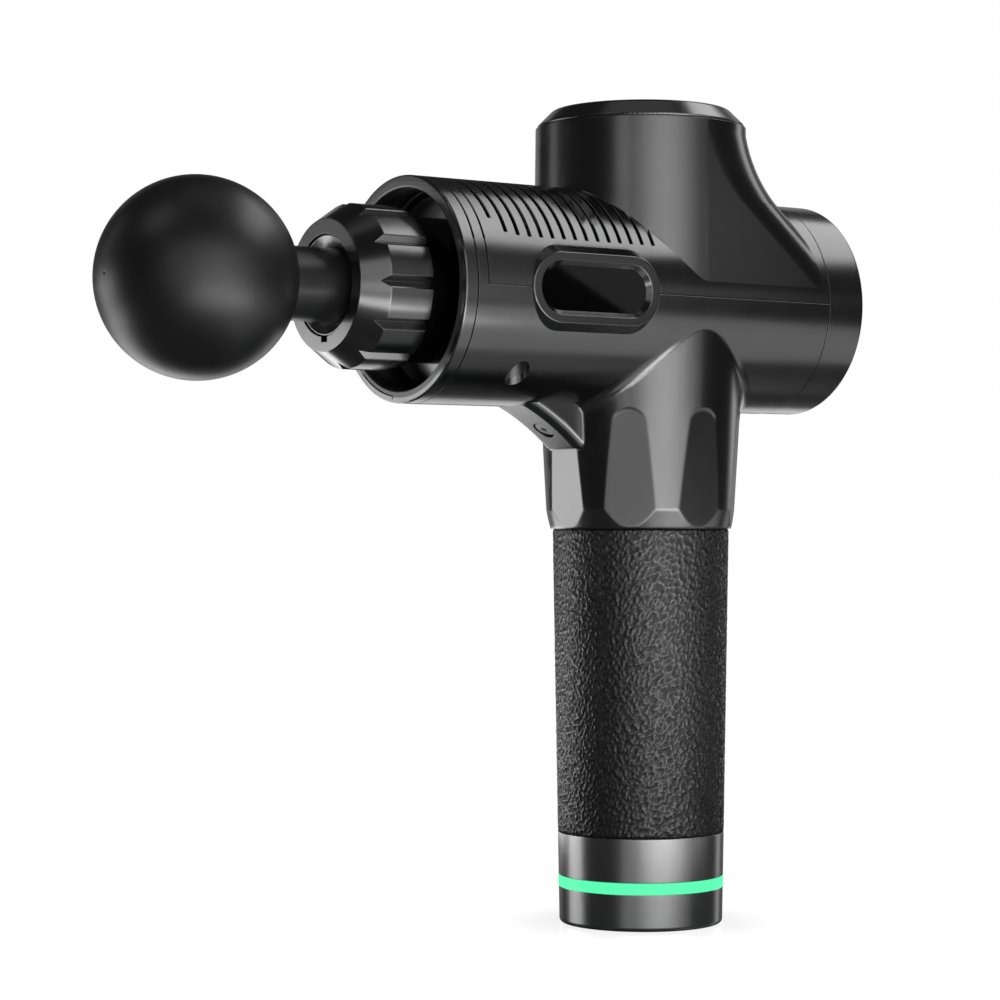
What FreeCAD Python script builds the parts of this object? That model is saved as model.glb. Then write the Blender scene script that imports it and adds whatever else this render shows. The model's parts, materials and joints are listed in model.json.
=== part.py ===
import FreeCAD, Part
import math
import os

# Percussion massage gun: horizontal barrel on a leather-wrapped battery grip, with the
# motor standing in a tower above the grip and a ball head on a reciprocating piston.
# Millimetres. Origin at the centre of the base's bottom face, +Z up the grip,
# +X towards the ball, +Y to the user's left.

V = FreeCAD.Vector
UP = V(0, 0, 1)
FORWARD = V(1, 0, 0)
LEFT = V(0, 1, 0)

# Heights along the grip
BASE_CUP_TOP = 11.0
LIGHT_RING_TOP = 14.3
GRIP_BOTTOM = 27.3
GRIP_TOP = 118.3
NECK_CHAMFER_TOP = 124.0
FLAT_TOP = 153.6
AXIS_Z = 186.5
TOWER_TOP = 239.1
TOTAL_HEIGHT = 244.3

# Radii of the upright parts
BASE_R_BOTTOM = 24.5
BASE_R_TOP = 25.0
LEATHER_R_BOTTOM = 25.15
LEATHER_R_TOP = 26.7
LEATHER = 1.5
NECK_R = 28.7
NECK_R_LOW = 27.2
NECK_FLARE = 0.044
NECK_BORE = 24.1
TOWER_R_TOP = 31.7
TOWER_R_LOW = 32.25
TOWER_CHAMFER = TOTAL_HEIGHT - TOWER_TOP

# Barrel
BARREL_R = 32.5
BARREL_REAR = -61.4
REAR_SEAM = -47.5
FRONT_SEAM = 79.4
NOSE_SEAM = 83.0
BARREL_FRONT = 87.0
RIM_IN = 28.9
RIM_LINE = 0.4
RIM_LINE_R = 30.2
RIM_LINE_DEPTH = 0.5
RIM_STEP_ANGLE = 8.0
RIM_STEP_HIGH = 1.2
REAR_CAP_R = 32.4
WALL = 2.5
BARREL_IN = BARREL_R - WALL
TOWER_IN = 29.4
SEAM = 0.35
SEAM_DEPTH = 0.8
TOUCH = 0.01
SLIP = 0.1
CAP_SKIRT = 3.4
CAP_SKIRT_WALL = 2.2
CAP_ROOF = 4.5

# Rear flare of the tower: an arc that leans back, then a straight run into the barrel
FLARE_TOP = 236.4
FLARE_R = 38.0
FLARE_START = math.radians(12.5)
FLARE_END = math.radians(50.0)
LEAST_SHIFT = 0.05

# Softened edges
RIM_EDGE = 0.6
RIM_INNER_EDGE = 0.5
REAR_EDGE = 1.0
CAP_TOP_EDGE = 2.6
CAP_LOW_EDGE = 0.4
BASE_EDGE = 1.3
COLLAR_FACE_EDGE = 0.35
COLLAR_LAND_EDGE = 0.45
TRIM_EDGE = 0.2
BEZEL_EDGE = 0.4
BEZEL_INNER_EDGE = 0.2
WEB_EDGE_R = 3.0

# Neck flats
FLATS = 8
FLAT_APOTHEM = 27.65
FLAT_LEAN = 0.068
FLAT_END_R = 5.4
FLAT_HALF_BOTTOM = 9.8
CREASE_FILLET = 4.5

# Finger web between the neck and the barrel
WEB_HALF = 8.8
WEB_FRONT = V(48.5, 0, 154.3)
WEB_SAG = V(38.6, 0, 148.8)
WEB_BACK = V(30.0, 0, 142.1)
WEB_ROOT = V(20.0, 0, 170.0)
WEB_SCREW = V(36.5, 0, 147.2)
WEB_NORMAL = V(0.55, 0, -0.835)
WEB_RECESS_R = 3.4
WEB_RECESS_DEPTH = 1.6
WEB_HEAD_R = 2.9

# Vent slots over the barrel
VENTS = 15
VENT_PITCH = 4.03
VENT_FIRST_X = 75.1
VENT_WIDTH = 1.0
VENT_END = 14.0
VENT_FIRST_ENDS = (18.8, 14.9, 14.2)

# Side windows
WINDOW_X = 41.6
WINDOW_Y = 33.0
BEZEL_LENGTH = 45.0
BEZEL_HEIGHT = 19.9
SKIRT = 2.7
SKIRT_DEPTH = 3.6
GLASS_LENGTH = 37.0
GLASS_HEIGHT = 12.8
GLASS_BEVEL = 1.4
GLASS_THICK = 1.2

# Screw wells in the barrel's lower flanks
WELL_X = 61.7
WELL_Y = 21.4
WELL_R = 3.5
WELL_TOP = 172.0
BOSS_R = 5.0

# Rear of the barrel: cap, frame, round panel and button
REAR_CAP_WALL = 2.4
REAR_BOSS_R = 3.9
REAR_BOSS_END = 12.0
REAR_PLATE_BACK = 0.6
REAR_PLATE_FRONT = 3.2
REAR_OPENING_R = 14.0
PANEL_R = 20.0
PANEL_LEDGE = 3.0
PANEL_THICK = 1.2
PANEL_SEAT = 2.6
BUTTON_R = 6.5
BUTTON_HOLE_R = 6.8
BUTTON_PROUD = 0.5
PLUNGER_R = 2.0
PLUNGER_END = 4.2
CONTROL_BOARD_R = 25.0
CONTROL_BOARD_BACK = 7.2
BOARD_THICK = 1.6

# Percussion drive
STROKE = 12.0
CRANK = STROKE / 2
ROD_LENGTH = 48.0
ROD_THICK = 6.0
ROD_HALF_WIDTH = 4.5
ROD_BIG_END_R = 11.0
ROD_SMALL_END_R = 6.5
ROD_POCKET_DEPTH = 1.5
ROD_POCKET_HALF = 2.5
ROD_BEARING_R = 8.0
CRANK_PIN_R = 4.0
CRANK_PIN_TOP = 196.0
ECCENTRIC_LOW = 192.8
ECCENTRIC_HIGH = 201.5
ECCENTRIC_R = 11.0
COUNTERWEIGHT_R = 15.5
WRIST_X = ROD_LENGTH - CRANK
WRIST_R = 3.0
WRIST_HALF_LENGTH = 11.5
RUN_GAP = 0.05
PISTON_R = 14.0
PISTON_REAR = 33.0
PISTON_FRONT = 112.2
SOCKET_R = 10.45
SOCKET_END = 82.0
SOCKET_MOUTH = 2.6
KEY_HALF = 1.55
KEY_DEPTH = 1.5
KEY_REAR = 86.0
KEY_FRONT = 98.0
COLLAR_FRONT = 112.7
COLLAR_CONE = 105.4
COLLAR_BACK = 91.0
COLLAR_R = 23.3
COLLAR_FACE_R = 18.6
COLLAR_BORE = 14.4
COLLAR_BACK_EDGE = 0.6
COLLAR_TAIL_R = 20.8
FRAME_X = 68.0
FRAME_THICK = 4.0
FRAME_R = 28.5
FLANGE_THICK = 3.0
FLANGE_R = 27.5
FLUTES = 12
FLUTE_HALF = 1.9
FLUTE_DEPTH = 1.8
FLUTE_LIP = 0.35
FLUTE_LIP_DEPTH = 0.25
BUSH_R = 17.0
BUSH_FRONT = 103.0

# Ball head
STEM_R = 10.4
STEM_REAR = 83.0
STEM_CHAMFER = 1.0
STEM_GROOVE_X = 92.0
STEM_GROOVE_R = 9.0
STEM_GROOVE_WIDTH = 1.6
O_RING_R = 9.65
O_RING_THICK_R = 0.65
ANCHOR_DEPTH = 6.0
ANCHOR_R = 14.0
ANCHOR_THICK = 3.0
TIP_R = 7.0
TIP_LENGTH = 9.0
BALL_X = 153.4
BALL_R = 27.9

# Motor
MOTOR_R = 22.0
MOTOR_LOW = 206.0
MOTOR_HIGH = 232.0
PLATE_THICK = 3.0
CAN_WALL = 1.5
MOTOR_BOSS_R = 3.6
MOTOR_BOSS_LENGTH = 8.0
SHAFT_R = 2.5
SHAFT_LOW = 196.5
ROTOR_R = 12.0
STATOR_IN = 12.6
TEETH = 9
TOOTH_HALF = 1.5
YOKE_R = 17.6
STACK_INSET = 4.0
BEARING_R = 6.5

# Rings of screws: angles and pitch radii
QUARTERS = (45, 135, 225, 315)
THIRDS = (90, 210, 330)
REAR_SCREW_R = 26.6
MOTOR_SCREW_R = 26.4
BASE_SCREW_R = 18.6
BASE_SCREW_HEAD = 2.2
LEDS = 6

# Base
BASE_FLOOR = 3.2
LIGHT_BOARD_R = 17.8
LIGHT_BOARD_BORE = 12.0
LIGHT_BOARD_LOW = 12.0
LIGHT_BOARD_HIGH = 13.2
SWITCH_X = (3.0, 13.0)
SWITCH_Y = (-7.5, 7.5)
SWITCH_WALL = 1.2
ROCKER_AXLE_Z = 4.6
ROCKER_AXLE_R = 1.0
ROCKER_TILT = 7.0

# Charging port in the base
PORT_X = -9.0
PORT_HALF_LONG = 4.2
PORT_HALF_SHORT = 1.3
PORT_WALL = 0.35

# Battery
CELL_R = 9.2
CELL_LENGTH = 65.0
CELL_LOW = 38.0
GRIP_BORE = 21.4
LINER_R = 22.2
LINER_BORE = 20.6


def cyl(radius, low, high, x=0.0, y=0.0):
    return Part.makeCylinder(radius, high - low, V(x, y, low), UP)


def ring(outer, inner, low, high, x=0.0, y=0.0):
    return cyl(outer, low, high, x, y).cut(cyl(inner, low - 1, high + 1, x, y))


def cone(low_r, high_r, low, high):
    return Part.makeCone(low_r, high_r, high - low, V(0, 0, low), UP)


def cyl_x(radius, rear, front, y=0.0, z=AXIS_Z):
    return Part.makeCylinder(radius, front - rear, V(rear, y, z), FORWARD)


def ring_x(outer, inner, rear, front, y=0.0, z=AXIS_Z):
    return cyl_x(outer, rear, front, y, z).cut(cyl_x(inner, rear - 1, front + 1, y, z))


def box(x, y, z):
    return Part.makeBox(x[1] - x[0], y[1] - y[0], z[1] - z[0], V(x[0], y[0], z[0]))


def fuse_all(shapes):
    return shapes[0].fuse(shapes[1:]).removeSplitter()


def mirrored(shape):
    return shape.mirror(V(0, 0, 0), LEFT)


def turned(shape, angle, centre=V(0, 0, 0), axis=UP):
    copy = shape.copy()
    copy.rotate(centre, axis, angle)
    return copy


def turned_x(shape, angle):
    return turned(shape, angle, V(0, 0, AXIS_Z), FORWARD)


def revolve_x(outline):
    """Solid of revolution about the barrel's axis from (x, radius) corners."""
    points = [V(x, 0, AXIS_Z + radius) for x, radius in outline]
    face = Part.Face(Part.makePolygon(points + points[:1]))
    return face.revolve(V(0, 0, AXIS_Z), FORWARD, 360)


def revolve_z(outline):
    """Solid of revolution about the grip's axis from (radius, z) corners."""
    points = [V(radius, 0, z) for radius, z in outline]
    face = Part.Face(Part.makePolygon(points + points[:1]))
    return face.revolve(V(0, 0, 0), UP, 360)


def screw(head, direction, length, head_r=2.3, head_high=1.8, shank_r=1.25):
    """Pan-head screw: head is the top of the head, direction points down the shank."""
    body = cyl(head_r, 0, head_high).fuse(cyl(shank_r, head_high, head_high + length)).removeSplitter()
    slot = fuse_all([
        box((-1.3, 1.3), (-0.35, 0.35), (-1, 0.9)),
        box((-0.35, 0.35), (-1.3, 1.3), (-1, 0.9)),
    ])
    body = body.cut(slot)
    body.Placement = FreeCAD.Placement(head, FreeCAD.Rotation(UP, direction))
    return body


def stadium(length, height, y):
    """Upright stadium outline facing along Y, centred on the side window."""
    half = (length - height) / 2
    radius = height / 2
    left = V(WINDOW_X - half, y, AXIS_Z)
    right = V(WINDOW_X + half, y, AXIS_Z)
    rise = V(0, 0, radius)
    edges = [
        Part.LineSegment(left + rise, right + rise).toShape(),
        Part.Arc(right + rise, right + V(radius, 0, 0), right - rise).toShape(),
        Part.LineSegment(right - rise, left - rise).toShape(),
        Part.Arc(left - rise, left - V(radius, 0, 0), left + rise).toShape(),
    ]
    return Part.Wire(edges)


def stadium_prism(length, height, y_low, y_high):
    return Part.Face(stadium(length, height, y_low)).extrude(V(0, y_high - y_low, 0))


def stadium_loft(low, high, y_low, y_high):
    return Part.makeLoft([stadium(low[0], low[1], y_low), stadium(high[0], high[1], y_high)], True)


def soften(shape, radius, wanted):
    """Rounds every edge for which wanted(edge) is true."""
    return shape.makeFillet(radius, [edge for edge in shape.Edges if wanted(edge)])


def hoop_x(x, radius):
    """Picks the circular edge of that radius round the barrel's axis at x."""
    def wanted(edge):
        curve = edge.Curve
        round_edge = curve.TypeId == "Part::GeomCircle"
        return round_edge and abs(curve.Radius - radius) < TOUCH and abs(curve.Center.x - x) < TOUCH
    return wanted


def hoop_z(z, radius):
    """Picks the circular edge of that radius round the grip's axis at z."""
    def wanted(edge):
        curve = edge.Curve
        round_edge = curve.TypeId == "Part::GeomCircle"
        return round_edge and abs(curve.Radius - radius) < TOUCH and abs(curve.Center.z - z) < TOUCH
    return wanted


# ---- casing envelope ----

def tower_radius(z):
    slope = (TOWER_R_LOW - TOWER_R_TOP) / (TOWER_TOP - AXIS_Z)
    return TOWER_R_TOP + slope * (TOWER_TOP - z)


def flare_shift(z):
    """How far the tower's rear half leans back at a height."""
    drop = FLARE_TOP - z
    if drop <= 0:
        return LEAST_SHIFT
    arc_drop = FLARE_R * (math.sin(FLARE_END) - math.sin(FLARE_START))
    angle = FLARE_END
    if drop < arc_drop:
        angle = math.asin(math.sin(FLARE_START) + drop / FLARE_R)
    shift = FLARE_R * (math.cos(FLARE_START) - math.cos(angle))
    return LEAST_SHIFT + shift + max(0.0, drop - arc_drop) * math.tan(FLARE_END)


def tower_section(z):
    radius = tower_radius(z)
    back = V(-flare_shift(z), 0, z)
    front = V(0, 0, z)
    side = V(0, radius, 0)
    edges = [
        Part.Arc(front - side, front + V(radius, 0, 0), front + side).toShape(),
        Part.LineSegment(front + side, back + side).toShape(),
        Part.Arc(back + side, back - V(radius, 0, 0), back - side).toShape(),
        Part.LineSegment(back - side, front - side).toShape(),
    ]
    return Part.Wire(edges)


def tower_outer():
    arc_end = FLARE_TOP - FLARE_R * (math.sin(FLARE_END) - math.sin(FLARE_START))
    arc_steps = 6
    heights = [arc_end + (FLARE_TOP - arc_end) * step / arc_steps for step in range(arc_steps + 1)]
    top = Part.makeLoft([tower_section(FLARE_TOP), tower_section(TOWER_TOP)], True, True)
    curved = Part.makeLoft([tower_section(z) for z in heights], True)
    low = Part.makeLoft([tower_section(AXIS_Z + 3), tower_section(arc_end)], True, True)
    rear_limit = box((REAR_SEAM, 100), (-50, 50), (AXIS_Z, TOTAL_HEIGHT))
    return fuse_all([top, curved, low]).common(rear_limit)


def neck_outer():
    top_r = NECK_R + NECK_FLARE * (AXIS_Z - NECK_CHAMFER_TOP)
    column = cone(NECK_R, top_r, NECK_CHAMFER_TOP, AXIS_Z)
    chamfer = cone(NECK_R_LOW, NECK_R, GRIP_TOP, NECK_CHAMFER_TOP)
    return column.fuse(chamfer).removeSplitter()


def flat_cutter():
    """Arch-topped block whose inner face leans with the neck, facing +X."""
    arch_z = FLAT_TOP - FLAT_END_R
    low_z = GRIP_TOP - 1
    depth = 6.0

    def on_flat(y, z):
        return V(FLAT_APOTHEM + FLAT_LEAN * (z - NECK_CHAMFER_TOP), y, z)

    arch_half = FLAT_END_R
    edges = [
        Part.LineSegment(on_flat(-FLAT_HALF_BOTTOM, low_z), on_flat(FLAT_HALF_BOTTOM, low_z)).toShape(),
        Part.LineSegment(on_flat(FLAT_HALF_BOTTOM, low_z), on_flat(arch_half, arch_z)).toShape(),
        Part.Arc(on_flat(arch_half, arch_z), on_flat(0, FLAT_TOP), on_flat(-arch_half, arch_z)).toShape(),
        Part.LineSegment(on_flat(-arch_half, arch_z), on_flat(-FLAT_HALF_BOTTOM, low_z)).toShape(),
    ]
    return Part.Face(Part.Wire(edges)).extrude(V(depth, 0, 0))


def finger_web():
    low_root = V(WEB_ROOT.x, 0, WEB_BACK.z)
    high_front = V(WEB_FRONT.x, 0, WEB_ROOT.z)
    edges = [
        Part.Arc(WEB_FRONT, WEB_SAG, WEB_BACK).toShape(),
        Part.LineSegment(WEB_BACK, low_root).toShape(),
        Part.LineSegment(low_root, WEB_ROOT).toShape(),
        Part.LineSegment(WEB_ROOT, high_front).toShape(),
        Part.LineSegment(high_front, WEB_FRONT).toShape(),
    ]
    web = Part.Face(Part.Wire(edges)).extrude(V(0, 2 * WEB_HALF, 0))
    web.translate(V(0, -WEB_HALF, 0))
    slope_edges = [edge for edge in web.Edges if edge.Curve.TypeId == "Part::GeomCircle"]
    return web.makeFillet(WEB_EDGE_R, slope_edges)


def barrel_and_neck():
    """Lower envelope with a soft crease where the neck runs into the barrel."""
    barrel = cyl_x(BARREL_R, REAR_SEAM, NOSE_SEAM)
    body = barrel.fuse(neck_outer()).removeSplitter()
    crease = []
    for edge in body.Edges:
        middle = edge.valueAt((edge.FirstParameter + edge.LastParameter) / 2)
        near_axis = abs(middle.x) < NECK_R + 5
        if edge.Curve.TypeId == "Part::GeomBSplineCurve" and near_axis and middle.z < AXIS_Z - 5:
            crease.append(edge)
    body = body.makeFillet(CREASE_FILLET, crease)
    cutter = flat_cutter()
    cutters = [turned(cutter, 360.0 * step / FLATS) for step in range(FLATS)]
    return body.cut(cutters)


def vent_cutters(tower):
    cutters = []
    for index in range(VENTS):
        x = VENT_FIRST_X - VENT_PITCH * index
        end = VENT_FIRST_ENDS[index] if index < len(VENT_FIRST_ENDS) else VENT_END
        slot = ring_x(BARREL_R + 1, BARREL_IN - 1, x - VENT_WIDTH / 2, x + VENT_WIDTH / 2)
        above = box((x - 2, x + 2), (-40, 40), (AXIS_Z + end, AXIS_Z + 40))
        cutters.append(slot.common(above).cut(tower))
    return cutters


def seam_groove(x):
    """Shallow groove round the barrel just ahead of a seam."""
    return ring_x(BARREL_R + 1, BARREL_R - SEAM_DEPTH, x, x + SEAM)


# ---- shells ----

def cavity():
    barrel = cyl_x(BARREL_IN, REAR_SEAM - 1, BARREL_FRONT + 1)
    tower = cyl(TOWER_IN, AXIS_Z, TOTAL_HEIGHT)
    neck = cyl(NECK_BORE, GRIP_TOP - 1, AXIS_Z)
    return fuse_all([barrel, tower, neck])


def shell_bosses(above):
    """Screw bosses for the two well screws and the rear frame, trimmed to one shell."""
    bosses = []
    for side in (-1, 1):
        bosses.append(cyl(BOSS_R, AXIS_Z - 30, AXIS_Z + 30, WELL_X, side * WELL_Y))
    plate_front = REAR_SEAM + REAR_PLATE_FRONT
    rear_boss = cyl_x(REAR_BOSS_R, plate_front, REAR_SEAM + REAR_BOSS_END, 0, AXIS_Z + REAR_SCREW_R)
    bosses += [turned_x(rear_boss, angle) for angle in QUARTERS]
    half = (AXIS_Z, AXIS_Z + 60) if above else (AXIS_Z - 60, AXIS_Z)
    side_box = box((REAR_SEAM, FRONT_SEAM), (-50, 50), half)
    inside = cyl_x(BARREL_R - 1, REAR_SEAM, FRONT_SEAM)
    return [boss.common(side_box).common(inside) for boss in bosses]


def motor_bosses():
    boss = cyl(MOTOR_BOSS_R, MOTOR_LOW, MOTOR_LOW + MOTOR_BOSS_LENGTH, MOTOR_SCREW_R)
    trimmed = boss.common(cyl(TOWER_IN + 1.1, MOTOR_LOW - 1, MOTOR_LOW + MOTOR_BOSS_LENGTH + 1))
    return [turned(trimmed, angle) for angle in QUARTERS]


def upper_shell(fasteners, windows):
    tower = tower_outer()
    barrel = cyl_x(BARREL_R, REAR_SEAM, FRONT_SEAM)
    half = box((REAR_SEAM, FRONT_SEAM), (-50, 50), (AXIS_Z, TOTAL_HEIGHT))
    barrel = barrel.common(half)
    shell = barrel.fuse(tower).removeSplitter()
    shell = shell.cut(cavity())
    shell = shell.cut(vent_cutters(tower))
    cap_groove = ring(TOWER_R_LOW + 1, TOWER_R_TOP - SEAM_DEPTH, TOWER_TOP - SEAM, TOWER_TOP)
    shell = shell.cut([seam_groove(REAR_SEAM), seam_groove(FRONT_SEAM - SEAM), cap_groove])
    shell = fuse_all([shell] + shell_bosses(True) + motor_bosses())
    return shell.cut(windows + fasteners)


def lower_shell(fasteners, windows):
    body = barrel_and_neck().fuse(finger_web())
    upper_half = box((REAR_SEAM - 1, FRONT_SEAM), (-50, 50), (AXIS_Z, AXIS_Z + 60))
    body = body.cut(upper_half)
    neck_bore = cyl(NECK_BORE, GRIP_TOP - 1, AXIS_Z)
    body = body.cut(cyl_x(BARREL_IN, REAR_SEAM - 1, BARREL_FRONT).fuse(neck_bore))
    parting = ring_x(BARREL_R + 1, BARREL_R - SEAM_DEPTH, REAR_SEAM, FRONT_SEAM)
    parting = parting.common(box((REAR_SEAM, FRONT_SEAM), (-50, 50), (AXIS_Z - SEAM, AXIS_Z)))
    body = body.cut([parting, seam_groove(REAR_SEAM), seam_groove(NOSE_SEAM - SEAM)])
    body = fuse_all([body] + shell_bosses(False))
    wells = [cyl(WELL_R, AXIS_Z - 40, WELL_TOP, WELL_X, side * WELL_Y) for side in (-1, 1)]
    above = 3.0
    recess_start = WEB_SCREW + WEB_NORMAL * above
    recess = Part.makeCylinder(WEB_RECESS_R, WEB_RECESS_DEPTH + above, recess_start, WEB_NORMAL * -1)
    return body.cut(wells + [recess] + windows + fasteners)


def nose_ring():
    """Front rim of the barrel, with a short stepped line in its face below the bore."""
    outline = [
        (NOSE_SEAM, RIM_IN),
        (NOSE_SEAM, BARREL_R),
        (BARREL_FRONT, BARREL_R),
        (BARREL_FRONT, RIM_IN),
    ]
    body = revolve_x(outline)
    body = soften(body, RIM_EDGE, hoop_x(BARREL_FRONT, BARREL_R))
    body = soften(body, RIM_INNER_EDGE, hoop_x(BARREL_FRONT, RIM_IN))
    front = (BARREL_FRONT - RIM_LINE_DEPTH, BARREL_FRONT + 1)
    arc = ring_x(RIM_LINE_R + RIM_LINE, RIM_LINE_R, front[0], front[1])
    sector = box(front, (-40, 0), (AXIS_Z - 40, AXIS_Z))
    sector = turned_x(sector, -RIM_STEP_ANGLE).common(turned_x(sector, 90 - RIM_STEP_ANGLE * 5))
    step_low = AXIS_Z - RIM_LINE_R - RIM_STEP_HIGH
    step = box(front, (-RIM_LINE / 2, RIM_LINE / 2), (step_low, AXIS_Z - RIM_LINE_R))
    return body.cut([arc.common(sector), turned_x(step, -RIM_STEP_ANGLE)])


def tower_cap():
    shoulder = TOWER_TOP + TOUCH
    skirt_low = TOWER_TOP - CAP_SKIRT
    top_r = TOWER_R_TOP - TOWER_CHAMFER
    body = cone(TOWER_R_TOP, top_r, TOWER_TOP, TOTAL_HEIGHT)
    body = soften(body, CAP_TOP_EDGE, hoop_z(TOTAL_HEIGHT, top_r))
    body = soften(body, CAP_LOW_EDGE, hoop_z(TOWER_TOP, TOWER_R_TOP))
    skirt = cyl(TOWER_IN - SLIP, skirt_low, shoulder)
    hollow = cyl(TOWER_IN - CAP_SKIRT_WALL, skirt_low - 1, TOTAL_HEIGHT - CAP_ROOF)
    return body.fuse(skirt).removeSplitter().cut(hollow)


def rear_cap():
    inner_r = REAR_CAP_R - REAR_CAP_WALL
    ledge_r = PANEL_R - PANEL_LEDGE
    outline = [
        (REAR_SEAM, inner_r),
        (REAR_SEAM, REAR_CAP_R),
        (BARREL_REAR, REAR_CAP_R),
        (BARREL_REAR, PANEL_R),
        (BARREL_REAR + PANEL_THICK, PANEL_R),
        (BARREL_REAR + PANEL_THICK, ledge_r),
        (BARREL_REAR + PANEL_SEAT, ledge_r),
        (BARREL_REAR + PANEL_SEAT, inner_r),
    ]
    return soften(revolve_x(outline), REAR_EDGE, hoop_x(BARREL_REAR, REAR_CAP_R))


def rear_frame():
    plate = cyl_x(BARREL_IN - SLIP, REAR_SEAM + REAR_PLATE_BACK, REAR_SEAM + REAR_PLATE_FRONT)
    lug_r = REAR_CAP_R - REAR_CAP_WALL - SLIP
    lug = ring_x(lug_r, lug_r - 1.1, REAR_SEAM - 6, REAR_SEAM + REAR_PLATE_BACK + SLIP)
    opening = cyl_x(REAR_OPENING_R, REAR_SEAM - 1, REAR_SEAM + REAR_PLATE_FRONT + 1)
    return fuse_all([plate, lug]).cut(opening)


def at_window_face(edge):
    return abs(edge.BoundBox.YMin - WINDOW_Y) < TOUCH and abs(edge.BoundBox.YMax - WINDOW_Y) < TOUCH


def bezel_block():
    """The bezel's outside: an oval that flares down into the barrel."""
    return stadium_loft(
        (BEZEL_LENGTH + 2 * SKIRT, BEZEL_HEIGHT + 2 * SKIRT),
        (BEZEL_LENGTH, BEZEL_HEIGHT),
        WINDOW_Y - SKIRT_DEPTH,
        WINDOW_Y,
    )


def window_bezel():
    ledge = 2.8
    glass_low = WINDOW_Y - GLASS_BEVEL - GLASS_THICK
    pocket = stadium_prism(GLASS_LENGTH, GLASS_HEIGHT, glass_low, WINDOW_Y)
    bevel = stadium_loft(
        (GLASS_LENGTH, GLASS_HEIGHT),
        (GLASS_LENGTH + 2 * GLASS_BEVEL, GLASS_HEIGHT + 2 * GLASS_BEVEL),
        WINDOW_Y - GLASS_BEVEL,
        WINDOW_Y,
    )
    through = stadium_prism(GLASS_LENGTH - ledge, GLASS_HEIGHT - ledge, WINDOW_Y - 8, WINDOW_Y)
    rounded = soften(bezel_block(), BEZEL_EDGE, at_window_face)
    opened = rounded.cut([pocket, bevel, through])
    return soften(opened, BEZEL_INNER_EDGE, at_window_face)


def window_glass():
    front = WINDOW_Y - GLASS_BEVEL
    return stadium_prism(GLASS_LENGTH, GLASS_HEIGHT, front - GLASS_THICK, front)


# ---- nose and piston ----

def flute_cutter():
    """One V groove along the collar with broken lips, its front end pointed where it meets the cone."""
    tip = COLLAR_FRONT - 1
    rear = COLLAR_BACK - 1
    lip = COLLAR_R - FLUTE_LIP_DEPTH
    above = COLLAR_R + FLUTE_LIP_DEPTH
    section = [
        V(rear, -FLUTE_HALF - FLUTE_LIP, above),
        V(rear, -FLUTE_HALF + FLUTE_LIP, lip),
        V(rear, 0, COLLAR_R - FLUTE_DEPTH),
        V(rear, FLUTE_HALF - FLUTE_LIP, lip),
        V(rear, FLUTE_HALF + FLUTE_LIP, above),
    ]
    face = Part.Face(Part.makePolygon(section + section[:1]))
    groove = face.extrude(V(tip - rear, 0, 0))
    groove.translate(V(0, 0, AXIS_Z))
    return groove


def nose_collar():
    tail_x = FRAME_X + FRAME_THICK
    flange_front = tail_x + FLANGE_THICK
    outline = [
        (tail_x, COLLAR_BORE),
        (tail_x, FLANGE_R),
        (flange_front, FLANGE_R),
        (flange_front, COLLAR_TAIL_R),
        (COLLAR_BACK, COLLAR_TAIL_R),
        (COLLAR_BACK, COLLAR_R - COLLAR_BACK_EDGE),
        (COLLAR_BACK + COLLAR_BACK_EDGE, COLLAR_R),
        (COLLAR_CONE, COLLAR_R),
        (COLLAR_FRONT, COLLAR_FACE_R),
        (COLLAR_FRONT, COLLAR_BORE),
    ]
    body = revolve_x(outline)
    body = soften(body, COLLAR_FACE_EDGE, hoop_x(COLLAR_FRONT, COLLAR_FACE_R))
    body = soften(body, COLLAR_LAND_EDGE, hoop_x(COLLAR_CONE, COLLAR_R))
    bush_pocket = cyl_x(BUSH_R, tail_x - 1, BUSH_FRONT)
    groove = flute_cutter()
    grooves = [turned_x(groove, 360.0 * step / FLUTES) for step in range(FLUTES)]
    keyway = box(
        (tail_x - 1, COLLAR_FRONT + 1),
        (-KEY_HALF, KEY_HALF),
        (AXIS_Z - COLLAR_BORE - KEY_DEPTH, AXIS_Z - COLLAR_BORE + 1),
    )
    return body.cut(grooves + [bush_pocket, keyway])


def guide_bush():
    body = ring_x(BUSH_R, PISTON_R + RUN_GAP, FRAME_X + FRAME_THICK, BUSH_FRONT)
    keyway = box(
        (FRAME_X, BUSH_FRONT + 1),
        (-KEY_HALF, KEY_HALF),
        (AXIS_Z - PISTON_R - KEY_DEPTH - 0.4, AXIS_Z - PISTON_R + 1),
    )
    return body.cut(keyway)


def nose_frame(screws):
    plate = ring_x(FRAME_R, PISTON_R + 4, FRAME_X, FRAME_X + FRAME_THICK)
    return plate.cut(screws)


def shock_ring():
    return ring_x(BARREL_IN, FRAME_R, FRAME_X, FRAME_X + FRAME_THICK)


def piston():
    barrel = cyl_x(PISTON_R, PISTON_REAR, PISTON_FRONT)
    socket = cyl_x(SOCKET_R, SOCKET_END, PISTON_FRONT + 1)
    mouth = Part.makeCone(
        SOCKET_R, PISTON_R - 0.3, SOCKET_MOUTH, V(PISTON_FRONT - SOCKET_MOUTH, 0, AXIS_Z), FORWARD)
    half_slot = ROD_THICK / 2 + 0.5
    rod_slot = box((PISTON_REAR - 1, WRIST_X + 12), (-20, 20), (AXIS_Z - half_slot, AXIS_Z + half_slot))
    pin_hole = cyl(WRIST_R, AXIS_Z - 20, AXIS_Z + 20, WRIST_X)
    lightening = cyl_x(8.5, WRIST_X + 16, SOCKET_END - 5)
    key_seat = piston_key()
    return barrel.cut([socket, mouth, rod_slot, pin_hole, lightening, key_seat])


def piston_key():
    half = KEY_HALF - 0.25
    bore_low = AXIS_Z - PISTON_R
    return box((KEY_REAR, KEY_FRONT), (-half, half), (bore_low - 1.3, bore_low + 1.2))


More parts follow.
